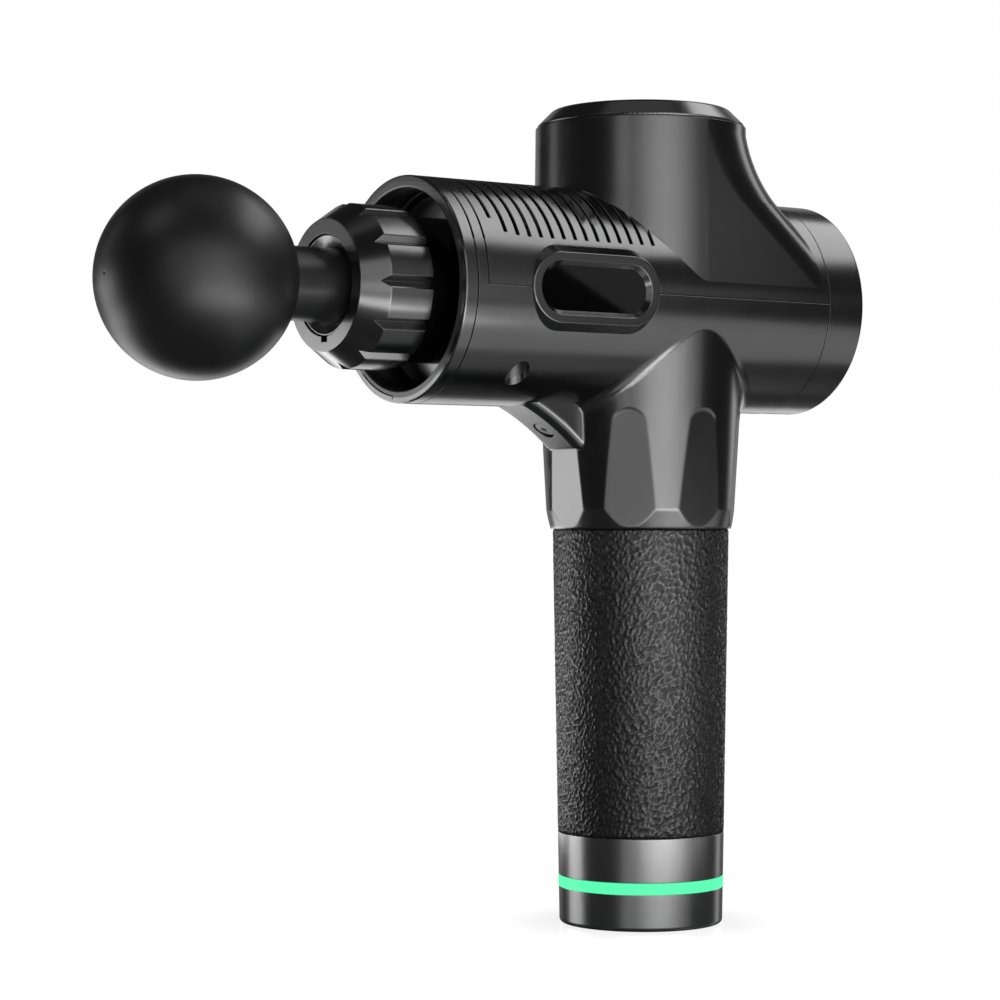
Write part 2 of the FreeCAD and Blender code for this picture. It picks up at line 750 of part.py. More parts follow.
def wrist_pin():
    return cyl(WRIST_R, AXIS_Z - WRIST_HALF_LENGTH, AXIS_Z + WRIST_HALF_LENGTH, WRIST_X)


def connecting_rod():
    low = AXIS_Z - ROD_THICK / 2
    high = AXIS_Z + ROD_THICK / 2
    beam = box((-CRANK, WRIST_X), (-ROD_HALF_WIDTH, ROD_HALF_WIDTH), (low, high))
    big_end = cyl(ROD_BIG_END_R, low, high, -CRANK)
    small_end = cyl(ROD_SMALL_END_R, low, high, WRIST_X)
    body = fuse_all([beam, big_end, small_end])
    pocket_x = (ROD_BEARING_R, WRIST_X - WRIST_R * 3)
    pocket_y = (-ROD_POCKET_HALF, ROD_POCKET_HALF)
    pocket = box(pocket_x, pocket_y, (high - ROD_POCKET_DEPTH, high + 1))
    lower_pocket = box(pocket_x, pocket_y, (low - 1, low + ROD_POCKET_DEPTH))
    bearing_seat = cyl(ROD_BEARING_R, low - 1, high + 1, -CRANK)
    pin_eye = cyl(WRIST_R + RUN_GAP, low - 1, high + 1, WRIST_X)
    return body.cut([pocket, lower_pocket, bearing_seat, pin_eye])


def rod_bearing():
    low = AXIS_Z - ROD_THICK / 2
    return ring(ROD_BEARING_R, CRANK_PIN_R + SLIP, low, low + ROD_THICK, -CRANK)


# ---- ball head ----

def head_stem():
    anchor_x = BALL_X - BALL_R + ANCHOR_DEPTH
    anchor_end = anchor_x + ANCHOR_THICK
    half_groove = STEM_GROOVE_WIDTH / 2
    body = cyl_x(STEM_R, STEM_REAR, anchor_x)
    anchor = cyl_x(ANCHOR_R, anchor_x, anchor_end)
    tip = cyl_x(TIP_R, anchor_end, anchor_end + TIP_LENGTH)
    groove = ring_x(STEM_R + 1, STEM_GROOVE_R, STEM_GROOVE_X - half_groove, STEM_GROOVE_X + half_groove)
    stem = fuse_all([body, anchor, tip]).cut(groove)
    rear_edge = [edge for edge in stem.Edges if abs(edge.BoundBox.XMax - STEM_REAR) < TOUCH]
    return stem.makeChamfer(STEM_CHAMFER, rear_edge)


def stem_o_ring():
    return Part.makeTorus(O_RING_R, O_RING_THICK_R, V(STEM_GROOVE_X, 0, AXIS_Z), FORWARD)


def massage_ball(stem):
    ball = Part.makeSphere(BALL_R, V(BALL_X, 0, AXIS_Z))
    return ball.cut(stem)


# ---- motor ----

def motor_plate(screws):
    plate = ring(TOWER_IN - 3 * SLIP, BEARING_R, MOTOR_LOW - PLATE_THICK, MOTOR_LOW)
    vents = [turned(cyl(3.0, MOTOR_LOW - 5, MOTOR_LOW + 1, 15), angle) for angle in (0, 90, 180, 270)]
    return plate.cut(vents + screws)


def bearing(low):
    """Ball bearing: two races and eight balls."""
    high = low + PLATE_THICK
    outer = ring(BEARING_R, BEARING_R - 1.0, low, high)
    inner = ring(SHAFT_R + 1.0, SHAFT_R + RUN_GAP, low, high)
    middle = (low + high) / 2
    ball_r = 0.98
    pitch = (BEARING_R - 1.0 + SHAFT_R + 1.0) / 2
    balls = [Part.makeSphere(ball_r, V(
        pitch * math.cos(2 * math.pi * step / 8),
        pitch * math.sin(2 * math.pi * step / 8),
        middle)) for step in range(8)]
    return Part.makeCompound([outer, inner] + balls)


def motor_can():
    return ring(MOTOR_R, MOTOR_R - CAN_WALL, MOTOR_LOW, MOTOR_HIGH)


def motor_end_cap():
    plate = ring(MOTOR_R, BEARING_R, MOTOR_HIGH, MOTOR_HIGH + PLATE_THICK)
    holes = [turned(cyl(2.4, MOTOR_HIGH - 1, MOTOR_HIGH + 5, 13), 60 * step) for step in range(6)]
    return plate.cut(holes)


def stator():
    low = MOTOR_LOW + STACK_INSET
    high = MOTOR_HIGH - STACK_INSET
    yoke = ring(MOTOR_R - CAN_WALL, YOKE_R, low, high)
    tooth = box((STATOR_IN + 1.0, YOKE_R + 0.3), (-TOOTH_HALF, TOOTH_HALF), (low, high))
    shoe = box((STATOR_IN + 0.2, STATOR_IN + 1.4), (-3.0, 3.0), (low, high))
    shoe = shoe.cut(cyl(STATOR_IN, low - 1, high + 1))
    teeth = [turned(tooth.fuse(shoe), 360.0 * step / TEETH) for step in range(TEETH)]
    return fuse_all([yoke] + teeth)


def coils():
    low = MOTOR_LOW + STACK_INSET
    high = MOTOR_HIGH - STACK_INSET
    turn = 1.5
    outer = box((14.3, YOKE_R - 0.3), (-2.7, 2.7), (low - turn, high + turn))
    core = box((14.0, YOKE_R + 0.4), (-TOOTH_HALF, TOOTH_HALF), (low, high))
    coil = outer.cut(core)
    return Part.makeCompound([turned(coil, 360.0 * step / TEETH) for step in range(TEETH)])


def rotor():
    return ring(ROTOR_R, SHAFT_R, MOTOR_LOW + STACK_INSET, MOTOR_HIGH - STACK_INSET)


def eccentric():
    low = ECCENTRIC_LOW
    high = ECCENTRIC_HIGH
    hub = cyl(ECCENTRIC_R, low, high)
    front_half = box((0, 20), (-20, 20), (low, high))
    weight = cyl(COUNTERWEIGHT_R, low, high).common(front_half)
    shaft_hole = cyl(SHAFT_R, SHAFT_LOW, high + 1)
    pin_hole = cyl(CRANK_PIN_R, low - 1, CRANK_PIN_TOP, -CRANK)
    return fuse_all([hub, weight]).cut([shaft_hole, pin_hole])


def crank_pin():
    clear_of_rod = AXIS_Z + ROD_THICK / 2 + 0.3
    return cyl(CRANK_PIN_R, clear_of_rod, CRANK_PIN_TOP, -CRANK)


# ---- grip, battery and base ----

def leather_sleeve():
    outer = cone(LEATHER_R_BOTTOM, LEATHER_R_TOP, GRIP_BOTTOM, GRIP_TOP)
    inner = cone(LEATHER_R_BOTTOM - LEATHER, LEATHER_R_TOP - LEATHER, GRIP_BOTTOM, GRIP_TOP)
    return outer.cut(inner)


def grip_tube(screws):
    sleeve = cone(LEATHER_R_BOTTOM - LEATHER, LEATHER_R_TOP - LEATHER, GRIP_BOTTOM, GRIP_TOP)
    spigot = cyl(NECK_BORE - RUN_GAP, GRIP_TOP - 1, GRIP_TOP + 13.5)
    liner = cyl(LINER_R, BASE_FLOOR, GRIP_BOTTOM + 1)
    posts = [turned(cyl(2.7, BASE_FLOOR, GRIP_BOTTOM, BASE_SCREW_R), angle) for angle in THIRDS]
    body = fuse_all([sleeve, spigot, liner])
    body = body.cut(cyl(GRIP_BORE, GRIP_BOTTOM + 2, GRIP_TOP + 20))
    body = body.cut(cyl(LINER_BORE, 2, GRIP_BOTTOM + 3))
    light_window = box((18, 24), (-5, 5), (BASE_CUP_TOP + 0.3, LIGHT_RING_TOP - 0.3))
    light_windows = [turned(light_window, 360 * step / LEDS) for step in range(LEDS)]
    body = body.cut(light_windows)
    inside = cyl(LINER_BORE + 0.5, BASE_FLOOR, GRIP_BOTTOM)
    body = fuse_all([body] + [post.common(inside) for post in posts])
    return body.cut(screws)


def base_cup(screws):
    radius_top = BASE_R_BOTTOM + (BASE_R_TOP - BASE_R_BOTTOM) * BASE_CUP_TOP / GRIP_BOTTOM
    outline = [
        (0, 0),
        (BASE_R_BOTTOM, 0),
        (radius_top, BASE_CUP_TOP),
        (LINER_R, BASE_CUP_TOP),
        (LINER_R, BASE_FLOOR),
        (0, BASE_FLOOR),
    ]
    body = soften(revolve_z(outline), BASE_EDGE, hoop_z(0, BASE_R_BOTTOM))
    body = soften(body, TRIM_EDGE, hoop_z(BASE_CUP_TOP, radius_top))
    switch_hole = box(SWITCH_X, SWITCH_Y, (-1, 5))
    port_hole = port_prism(PORT_HALF_LONG + PORT_WALL, PORT_HALF_SHORT + PORT_WALL, -1, 5)
    counterbores = [turned(cyl(2.6, -1, BASE_SCREW_HEAD, BASE_SCREW_R), angle) for angle in THIRDS]
    return body.cut([switch_hole, port_hole] + counterbores + screws)


def light_ring():
    radius = BASE_R_BOTTOM + 0.3
    return ring(radius, LINER_R, BASE_CUP_TOP, LIGHT_RING_TOP)


def base_sleeve():
    low_r = BASE_R_BOTTOM + (BASE_R_TOP - BASE_R_BOTTOM) * LIGHT_RING_TOP / GRIP_BOTTOM
    body = cone(low_r, BASE_R_TOP, LIGHT_RING_TOP, GRIP_BOTTOM)
    body = soften(body, TRIM_EDGE, hoop_z(LIGHT_RING_TOP, low_r))
    body = soften(body, TRIM_EDGE, hoop_z(GRIP_BOTTOM, BASE_R_TOP))
    return body.cut(cyl(LINER_R, 0, 40))


def light_board():
    board = ring(LIGHT_BOARD_R, LIGHT_BOARD_BORE, LIGHT_BOARD_LOW, LIGHT_BOARD_HIGH)
    board = board.cut([turned(cyl(3.2, 0, 30, BASE_SCREW_R), angle) for angle in THIRDS])
    led = box((15.6, 17.4), (-1.2, 1.2), (LIGHT_BOARD_HIGH, LIGHT_BOARD_HIGH + 0.8))
    leds = [turned(led, 360 * step / LEDS) for step in range(LEDS)]
    return fuse_all([board] + leds)


def port_outline(half_long, half_short, z):
    """Rounded slot outline across the base, long along Y, centred on the charging port."""
    straight = half_long - half_short
    near = V(PORT_X, -straight, z)
    far = V(PORT_X, straight, z)
    side = V(half_short, 0, 0)
    edges = [
        Part.LineSegment(near + side, far + side).toShape(),
        Part.Arc(far + side, far + V(0, half_short, 0), far - side).toShape(),
        Part.LineSegment(far - side, near - side).toShape(),
        Part.Arc(near - side, near - V(0, half_short, 0), near + side).toShape(),
    ]
    return Part.Face(Part.Wire(edges))


def port_prism(half_long, half_short, low, high):
    return port_outline(half_long, half_short, low).extrude(V(0, 0, high - low))


def charge_port():
    body = port_prism(PORT_HALF_LONG + PORT_WALL, PORT_HALF_SHORT + PORT_WALL, 0.4, 8.4)
    opening = port_prism(PORT_HALF_LONG, PORT_HALF_SHORT, 0, 7.6)
    tongue = box((PORT_X - 0.35, PORT_X + 0.35), (-3.3, 3.3), (1.3, 7.8))
    return body.cut(opening).fuse(tongue).removeSplitter()


def switch_frame():
    outer = box(SWITCH_X, SWITCH_Y, (0.3, 10.0))
    well_x = (SWITCH_X[0] + SWITCH_WALL, SWITCH_X[1] - SWITCH_WALL)
    well_y = (SWITCH_Y[0] + SWITCH_WALL, SWITCH_Y[1] - SWITCH_WALL)
    well = box(well_x, well_y, (0, 8.0))
    axle_start = V(SWITCH_X[0] - 1, 0, ROCKER_AXLE_Z)
    axle_holes = Part.makeCylinder(ROCKER_AXLE_R + RUN_GAP, 12, axle_start, FORWARD)
    return outer.cut([well, axle_holes])


def switch_rocker():
    """Rocker resting with one end tilted into its well."""
    body = box((4.5, 11.5), (-5.6, 5.6), (1.6, 5.4))
    axle = Part.makeCylinder(ROCKER_AXLE_R, 9.4, V(3.3, 0, ROCKER_AXLE_Z), FORWARD)
    rocker = fuse_all([body, axle])
    return turned(rocker, ROCKER_TILT, V(0, 0, ROCKER_AXLE_Z), FORWARD)


def battery_cells():
    pitch = CELL_R * 2 / math.sqrt(3) + 0.15
    body = cyl(CELL_R - 0.2, CELL_LOW, CELL_LOW + CELL_LENGTH - 1.5, pitch)
    button = cyl(3.0, CELL_LOW + CELL_LENGTH - 1.5, CELL_LOW + CELL_LENGTH, pitch)
    cell = body.fuse(button)
    return Part.makeCompound([turned(cell, 120 * step) for step in range(3)])


def cell_holder(low, high, pocket_low, pocket_high):
    pitch = CELL_R * 2 / math.sqrt(3) + 0.15
    body = cyl(GRIP_BORE - 0.1, low, high)
    pockets = [turned(cyl(CELL_R - 0.2, pocket_low, pocket_high, pitch), 120 * step) for step in range(3)]
    return body.cut(pockets + [cyl(2.0, low - 1, high + 1)])


def battery_board():
    low = CELL_LOW + CELL_LENGTH + 5
    top = low + BOARD_THICK
    board = cyl(20.5, low, top)
    chip = box((-5, 5), (-4, 4), (top, top + 1.2))
    plug = box((-13, -7), (-3, 3), (top, top + 3.4))
    return fuse_all([board, chip, plug])


def driver_board():
    low = GRIP_TOP + 16
    top = low + BOARD_THICK
    board = cyl(22.5, low, top)
    plug = box((-13, -7), (-6, 6), (top, top + 4.4))
    switches = [box((4, 10), (y - 3, y + 3), (top, top + 1.4)) for y in (-9, 0, 9)]
    capacitor = cyl(4.0, top, low + 12, -2, 15)
    return fuse_all([board, plug, capacitor] + switches)


def battery_leads():
    low = CELL_LOW + CELL_LENGTH + 10
    high = GRIP_TOP + 16
    return Part.makeCompound([cyl(0.9, low, high, -10, side * 1.6) for side in (-1, 1)])


# ---- rear control ----

def panel_lens():
    return ring_x(PANEL_R, BUTTON_HOLE_R, BARREL_REAR, BARREL_REAR + PANEL_THICK)


def speed_button():
    cap = cyl_x(BUTTON_R, BARREL_REAR - BUTTON_PROUD, BARREL_REAR + PANEL_SEAT)
    plunger = cyl_x(PLUNGER_R, BARREL_REAR + PANEL_SEAT, BARREL_REAR + PLUNGER_END)
    return fuse_all([cap, plunger])


def control_board():
    back = BARREL_REAR + CONTROL_BOARD_BACK
    board = cyl_x(CONTROL_BOARD_R, back, back + BOARD_THICK)
    tact = box((back - 1.9, back), (-3, 3), (AXIS_Z - 3, AXIS_Z + 3))
    leds = []
    for angle in (-50, -25, 0, 25, 50):
        led = box((back - 1, back), (-1, 1), (AXIS_Z + 11, AXIS_Z + 13))
        leds.append(turned_x(led, angle))
    return fuse_all([board, tact] + leds)


# ---- screws ----

def shell_screws():
    return [screw(V(WELL_X, side * WELL_Y, WELL_TOP - 1.8), UP, 22) for side in (-1, 1)]


def web_screw():
    return screw(WEB_SCREW - WEB_NORMAL * 0.4, WEB_NORMAL * -1, 8, WEB_HEAD_R)


def rear_screws():
    first = screw(V(REAR_SEAM - 1.2, 0, AXIS_Z + REAR_SCREW_R), FORWARD, 9, 2.0)
    return [turned_x(first, angle) for angle in QUARTERS]


def collar_screws():
    head_x = FRAME_X + FRAME_THICK + FLANGE_THICK + 1.8
    first = screw(V(head_x, 0, AXIS_Z + 24.4), FORWARD * -1, 6.5, 2.0)
    return [turned_x(first, angle) for angle in QUARTERS]


def motor_screws():
    first = screw(V(MOTOR_SCREW_R, 0, MOTOR_LOW - PLATE_THICK - 1.8), UP, 9, 2.2)
    return [turned(first, angle) for angle in QUARTERS]


def base_screws():
    head_high = 1.6
    first = screw(V(BASE_SCREW_R, 0, BASE_SCREW_HEAD - head_high), UP, 12, 2.2, head_high, 1.4)
    return [turned(first, angle) for angle in THIRDS]


def build():
    shell_fix = shell_screws()
    web_fix = web_screw()
    rear_fix = rear_screws()
    collar_fix = collar_screws()
    motor_fix = motor_screws()
    base_fix = base_screws()
    left_block = bezel_block()
    windows = [left_block, mirrored(left_block)]
    stem = head_stem()
    bezel = window_bezel()
    glass = window_glass()
    return {
        "upper_shell": upper_shell(shell_fix + rear_fix + motor_fix, windows),
        "lower_shell": lower_shell(shell_fix + rear_fix + [web_fix], windows),
        "nose_ring": nose_ring(),
        "tower_cap": tower_cap(),
        "rear_cap": rear_cap(),
        "rear_frame": rear_frame().cut(rear_fix),
        "window_bezel_left": bezel,
        "window_bezel_right": mirrored(bezel),
        "window_glass_left": glass,
        "window_glass_right": mirrored(glass),
        "nose_frame": nose_frame(collar_fix),
        "shock_ring": shock_ring(),
        "nose_collar": nose_collar().cut(collar_fix),
        "guide_bush": guide_bush(),
        "piston": piston(),
        "piston_key": piston_key(),
        "wrist_pin": wrist_pin(),
        "connecting_rod": connecting_rod(),
        "rod_bearing": rod_bearing(),
        "head_stem": stem,
        "stem_o_ring": stem_o_ring(),
        "massage_ball": massage_ball(stem),
        "motor_plate": motor_plate(motor_fix),
        "motor_can": motor_can(),
        "motor_end_cap": motor_end_cap(),
        "motor_bearing_lower": bearing(MOTOR_LOW - PLATE_THICK),
        "motor_bearing_upper": bearing(MOTOR_HIGH),
        "stator": stator(),
        "coils": coils(),
        "rotor": rotor(),
        "motor_shaft": cyl(SHAFT_R, SHAFT_LOW, MOTOR_HIGH + PLATE_THICK),
        "eccentric": eccentric(),
        "crank_pin": crank_pin(),
        "leather_sleeve": leather_sleeve(),
        "grip_tube": grip_tube(base_fix),
        "base_cup": base_cup(base_fix),
        "light_ring": light_ring(),
        "base_sleeve": base_sleeve(),
        "light_board": light_board(),
        "charge_port": charge_port(),
        "switch_frame": switch_frame(),
        "switch_rocker": switch_rocker(),
        "battery_cells": battery_cells(),
        "cell_holder_lower": cell_holder(CELL_LOW - 3, CELL_LOW + 3, CELL_LOW, CELL_LOW + 4),
        "cell_holder_upper": cell_holder(
            CELL_LOW + CELL_LENGTH - 5, CELL_LOW + CELL_LENGTH + 2,
            CELL_LOW + CELL_LENGTH - 6, CELL_LOW + CELL_LENGTH),
        "battery_board": battery_board(),
        "driver_board": driver_board(),
        "battery_leads": battery_leads(),
        "panel_lens": panel_lens(),
        "speed_button": speed_button(),
        "control_board": control_board(),
        "shell_screws": Part.makeCompound(shell_fix),
        "web_screw": web_fix,
        "rear_screws": Part.makeCompound(rear_fix),
        "collar_screws": Part.makeCompound(collar_fix),
        "motor_screws": Part.makeCompound(motor_fix),
        "base_screws": Part.makeCompound(base_fix),
    }


os.makedirs("parts", exist_ok=True)
for node, shape in build().items():
    shape.exportStep("parts/" + node + ".step")
    solids = len(shape.Solids)
    print(node, "valid" if shape.isValid() else "INVALID", solids, round(shape.Volume))
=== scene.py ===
import json
import math

import bpy
import numpy as np
from mathutils import Matrix, Vector


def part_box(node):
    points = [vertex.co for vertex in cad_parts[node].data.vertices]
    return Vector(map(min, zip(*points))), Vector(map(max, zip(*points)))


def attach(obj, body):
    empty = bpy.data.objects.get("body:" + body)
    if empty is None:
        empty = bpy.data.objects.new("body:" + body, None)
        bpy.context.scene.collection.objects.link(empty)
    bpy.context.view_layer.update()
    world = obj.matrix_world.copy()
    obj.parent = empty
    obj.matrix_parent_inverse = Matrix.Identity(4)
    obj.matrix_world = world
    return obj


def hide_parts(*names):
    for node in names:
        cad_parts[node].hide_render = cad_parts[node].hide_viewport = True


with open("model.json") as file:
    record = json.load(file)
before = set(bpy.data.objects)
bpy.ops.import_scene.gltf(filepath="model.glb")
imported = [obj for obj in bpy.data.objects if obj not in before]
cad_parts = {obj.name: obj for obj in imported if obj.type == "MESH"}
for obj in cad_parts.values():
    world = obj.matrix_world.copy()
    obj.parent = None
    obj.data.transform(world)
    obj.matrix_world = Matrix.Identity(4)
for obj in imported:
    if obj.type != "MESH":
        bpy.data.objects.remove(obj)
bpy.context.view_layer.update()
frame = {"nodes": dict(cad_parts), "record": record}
NODES = frame["nodes"]
SLOT_OF = {part["node"]: part["material_slot"] for part in frame["record"]["subparts"]}
MM = 0.001

# Camera: level, seen from ahead of the gun's left side
CAMERA_AZIMUTH = math.radians(144.29)
CAMERA_LEVEL = math.radians(-0.39)
CAMERA_DISTANCE = 0.8564
CAMERA_SIDE = -0.04244
CAMERA_HEIGHT = 0.12697
LENS = 102.1
SENSOR = 36.0

# Barrel, and the places where the casing's edges are much softer: the neck and the vents' ribs
NOSE_LOW, NOSE_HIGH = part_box("nose_ring")
AXIS_Z = (NOSE_LOW.z + NOSE_HIGH.z) / 2
BARREL_R = (NOSE_HIGH.z - NOSE_LOW.z) / 2
NECK_OUTER = 31.5 * MM
INSIDE_DEPTH = 1.7 * MM
RIBS_ABOVE = 12.5 * MM
RIBS_FROM_X = 14.0 * MM
NECK_EDGE = 1.3 * MM
RIB_EDGE = 0.5 * MM
EDGE = 0.2 * MM

# Leather wrap
LEATHER_COLUMNS = 410
LEATHER_ROWS = 226
LEATHER_INSET = 0.10 * MM
LEATHER_RELIEF = 0.4 * MM
SLANT_START = math.radians(45)
LEATHER_WALL = 1.3 * MM
LEATHER_ROLL = 0.7 * MM
SEAM_WIDTH = 0.35 * MM
SEAM_DEPTH = 0.5 * MM
NOISE_TABLE = 512

# Ball head
BALL_COLUMNS = 160
BALL_ARC_STEPS = 96
FIT_GAP = 0.05 * MM
STEM_RADIUS = 10.4 * MM
ANCHOR_RADIUS = 14.0 * MM
ANCHOR_THICK = 3.0 * MM
TIP_RADIUS = 7.0 * MM
TIP_LENGTH = 9.0 * MM

# Floor: how it reflects, and how white it glows to the camera near the base, dimmer there as a painted
# contact shadow, and away from it
FLOOR_HALF = 40.0
FLOOR_COLOUR = 0.2
FLOOR_ROUGHNESS = 0.08
SHADE_START, SHADE_END = 22 * MM, 50 * MM
SHADE_NEAR, SHADE_AWAY = 0.85, 1.0

# Lights. Ambient is the world's strength for everything but the camera
AMBIENT = 0.03
BANK_ANGLE = 24
BANK_BEFORE, BANK_AFTER, BANK_STEP = 60, 40, 10
BANK_SPREAD = 32.0
BANK_DISTANCE = 1.2
BANK_WIDTH = 0.212
# Height, strip length and radiance of each row of the bank
BANK_ROWS = {"low": (0.1, 0.3, 1.75), "high": (0.55, 0.6, 1.05)}
# Name, angle, height, distance, size, radiance, and for the card its roll and what it aims at.
# Those at FLOOR_LIGHT lie on the floor facing up. The card makes the diagonal in the left window.
FLOOR_LIGHT = 4 * MM
SOFTBOXES = (
    ("left_low", -106, 0.08, 1.0, (0.5, 0.34), 2.2),
    ("left_high", -112, 0.6, 1.2, (0.3, 0.6), 0.35),
    ("left_rear", -160, 0.35, 1.2, (0.6, 0.9), 0.28),
    ("left_near", -22, 0.35, 1.2, (0.3, 0.9), 0.35),
    ("right_rear", 133, 0.35, 1.2, (0.28, 0.9), 1.1),
    ("rear_right", 163, 0.35, 1.2, (0.4, 0.9), 0.3),
    ("high_right", 112, 1.05, 0.75, (1.1, 0.5), 1.9),
    ("high_left", -60, 1.05, 0.75, (0.4, 0.5), 0.6),
    ("top", 0, 1.35, 0.01, (0.7, 0.7), 0.15),
    ("floor_front", 20, FLOOR_LIGHT, 0.5, (0.55, 0.4), 2.7),
    ("floor_right", 66, FLOOR_LIGHT, 0.42, (0.65, 0.5), 0.45),
    ("floor_left", -115, FLOOR_LIGHT, 0.5, (0.5, 0.45), 1.8),
    ("floor_back", 180, FLOOR_LIGHT, 0.55, (0.8, 0.5), 1.0),
    ("window_card", 72.3, 0.316, 1.0, (0.12, 0.12), 0.34, -34.6, 0.1865),
)


# ---- shader helpers ----

class Shader:
    """A material with one Principled shader, and short calls that add nodes to it."""

    def __init__(self, name, colour=(0.5, 0.5, 0.5), **inputs):
        self.material = bpy.data.materials.new(name)
        self.material.use_nodes = True
        self.tree = self.material.node_tree
        self.main = next(node for node in self.tree.nodes if node.type == "BSDF_PRINCIPLED")
        self.colour = colour
        self.main.inputs["Base Color"].default_value = (*colour, 1)
        self.fill(self.main, inputs)
        self.place = self.tree.nodes.new("ShaderNodeTexCoord").outputs["Object"]

    def fill(self, node, inputs):
        for name, value in inputs.items():
            node.inputs[name.replace("_", " ")].default_value = value

    def add(self, kind, links, **inputs):
        node = self.tree.nodes.new("ShaderNode" + kind)
        for name, source in links.items():
            self.tree.links.new(source, node.inputs[name])
        self.fill(node, inputs)
        return node

    def stretched(self, x, y, z):
        """Object coordinates scaled by axis, for streaks."""
        return self.add("Mapping", {"Vector": self.place}, Scale=(x, y, z)).outputs["Vector"]

    def noise(self, scale, detail=3.0, place=None):
        links = {"Vector": place or self.place}
        return self.add("TexNoise", links, Scale=scale, Detail=detail).outputs["Fac"]

    def cells(self, scale, feature, place=None):
        node = self.add("TexVoronoi", {"Vector": place or self.place}, Scale=scale)
        node.feature = feature
        return node.outputs["Distance"]

    def span(self, source, low, high, start=0.0, end=1.0):
        """Maps a field from start..end onto low..high."""
        node = self.add("MapRange", {"Value": source})
        node.inputs["From Min"].default_value = start
        node.inputs["From Max"].default_value = end
        node.inputs["To Min"].default_value = low
        node.inputs["To Max"].default_value = high
        return node.outputs["Result"]

    def math(self, operation, first, second):
        node = self.tree.nodes.new("ShaderNodeMath")
        node.operation = operation
        for socket, value in zip(node.inputs, (first, second)):
            if isinstance(value, float):
                socket.default_value = value
            else:
                self.tree.links.new(value, socket)
        return node.outputs["Value"]

    def tint(self, field, low, high):
        """Base colour from low to high times the material's colour, by a field."""
        ramp = self.add("ValToRGB", {"Fac": field})
        for stop, factor in zip(ramp.color_ramp.elements, (low, high)):
            stop.color = (*[min(1.0, part * factor) for part in self.colour], 1)
        self.tree.links.new(ramp.outputs["Color"], self.main.inputs["Base Color"])

    def roughness(self, field, low, high):
        self.tree.links.new(self.span(field, low, high), self.main.inputs["Roughness"])

    def bump(self, height, distance, normal=None):
        links = {"Height": height}
        if normal:
            links["Normal"] = normal
        node = self.add("Bump", links, Distance=distance)
        self.tree.links.new(node.outputs["Normal"], self.main.inputs["Normal"])

    def bevel(self, radius, samples=4):
        node = self.add("Bevel", {}, Radius=radius)
        node.samples = samples
        return node.outputs["Normal"]

    def vector_math(self, operation, first, second=None):
        node = self.tree.nodes.new("ShaderNodeVectorMath")
        node.operation = operation
        self.tree.links.new(first, node.inputs[0])
        if second:
            self.tree.links.new(second, node.inputs[1])
        return node.outputs["Value"]

    def soft_edges(self, radius):
        """Normals rounded over edges, and a mask that is 1 on the edges."""
        rounded = self.bevel(radius)
        straight = self.tree.nodes.new("ShaderNodeNewGeometry").outputs["Normal"]
        likeness = self.vector_math("DOT_PRODUCT", rounded, straight)
        return rounded, self.span(likeness, 1.0, 0.0, 0.8, 0.99)

    def from_barrel_axis(self):
        node = self.add("Mapping", {"Vector": self.place}, Scale=(0, 1, 1), Location=(0, 0, -AXIS_Z))
        return self.vector_math("LENGTH", node.outputs["Vector"])

    def softer_where(self, mask, rounded, radius):
        """The same normals, rounded over a larger radius where the mask is 1."""
        mix = self.tree.nodes.new("ShaderNodeMix")
        mix.data_type = "VECTOR"
        # A vector mix has its factor at input 0, A and B at inputs 4 and 5, and its result at output 1
        self.tree.links.new(mask, mix.inputs[0])
        self.tree.links.new(rounded, mix.inputs[4])
        self.tree.links.new(self.bevel(radius, 8), mix.inputs[5])
        return mix.outputs[1]

    def softer_shells(self, rounded):
        """The same normals, softer on the neck and on the ribs between the vents."""
        where = self.add("SeparateXYZ", {"Vector": self.place}).outputs
        low = self.math("LESS_THAN", where["Z"], NOSE_LOW.z)
        near = self.math("LESS_THAN", self.vector_math("LENGTH", self.stretched(1, 1, 0)), NECK_OUTER)
        high = self.math("GREATER_THAN", where["Z"], AXIS_Z + RIBS_ABOVE)
        ahead = self.math("GREATER_THAN", where["X"], RIBS_FROM_X)
        on_barrel = self.math("LESS_THAN", self.from_barrel_axis(), BARREL_R + EDGE)
        ribs = self.math("MULTIPLY", self.math("MULTIPLY", high, ahead), on_barrel)
        rounded = self.softer_where(self.math("MULTIPLY", low, near), rounded, NECK_EDGE)
        return self.softer_where(ribs, rounded, RIB_EDGE)


def bead_blasted(name, colour, roughness, edge=EDGE, shells=False):
    """Satin coated metal: fine blast grain, cloudy sheen, edges a little polished and lighter in colour,
    partly wear and partly a painted highlight.
    """
    shader = Shader(name, colour, Metallic=1.0)
    rounded, edges = shader.soft_edges(edge)
    cloud = shader.noise(45.0)
    # Colour lighter along the edges: partly edge wear, partly a painted highlight where the edges catch
    # light.
    shader.tint(shader.math("ADD", cloud, shader.math("MULTIPLY", edges, 0.2)), 0.92, 1.1)
    worn = shader.math("SUBTRACT", shader.noise(70.0), shader.math("MULTIPLY", edges, 0.5))
    finish = shader.span(worn, roughness - 0.04, roughness + 0.04)
    if shells:
        rounded = shader.softer_shells(rounded)
        inside = shader.math("LESS_THAN", shader.from_barrel_axis(), BARREL_R - INSIDE_DEPTH)
        finish = shader.math("ADD", finish, shader.math("MULTIPLY", inside, 0.22))
    shader.tree.links.new(finish, shader.main.inputs["Roughness"])
    shader.bump(shader.noise(7000.0, 2.0), 0.002 * MM, rounded)
    return shader.material


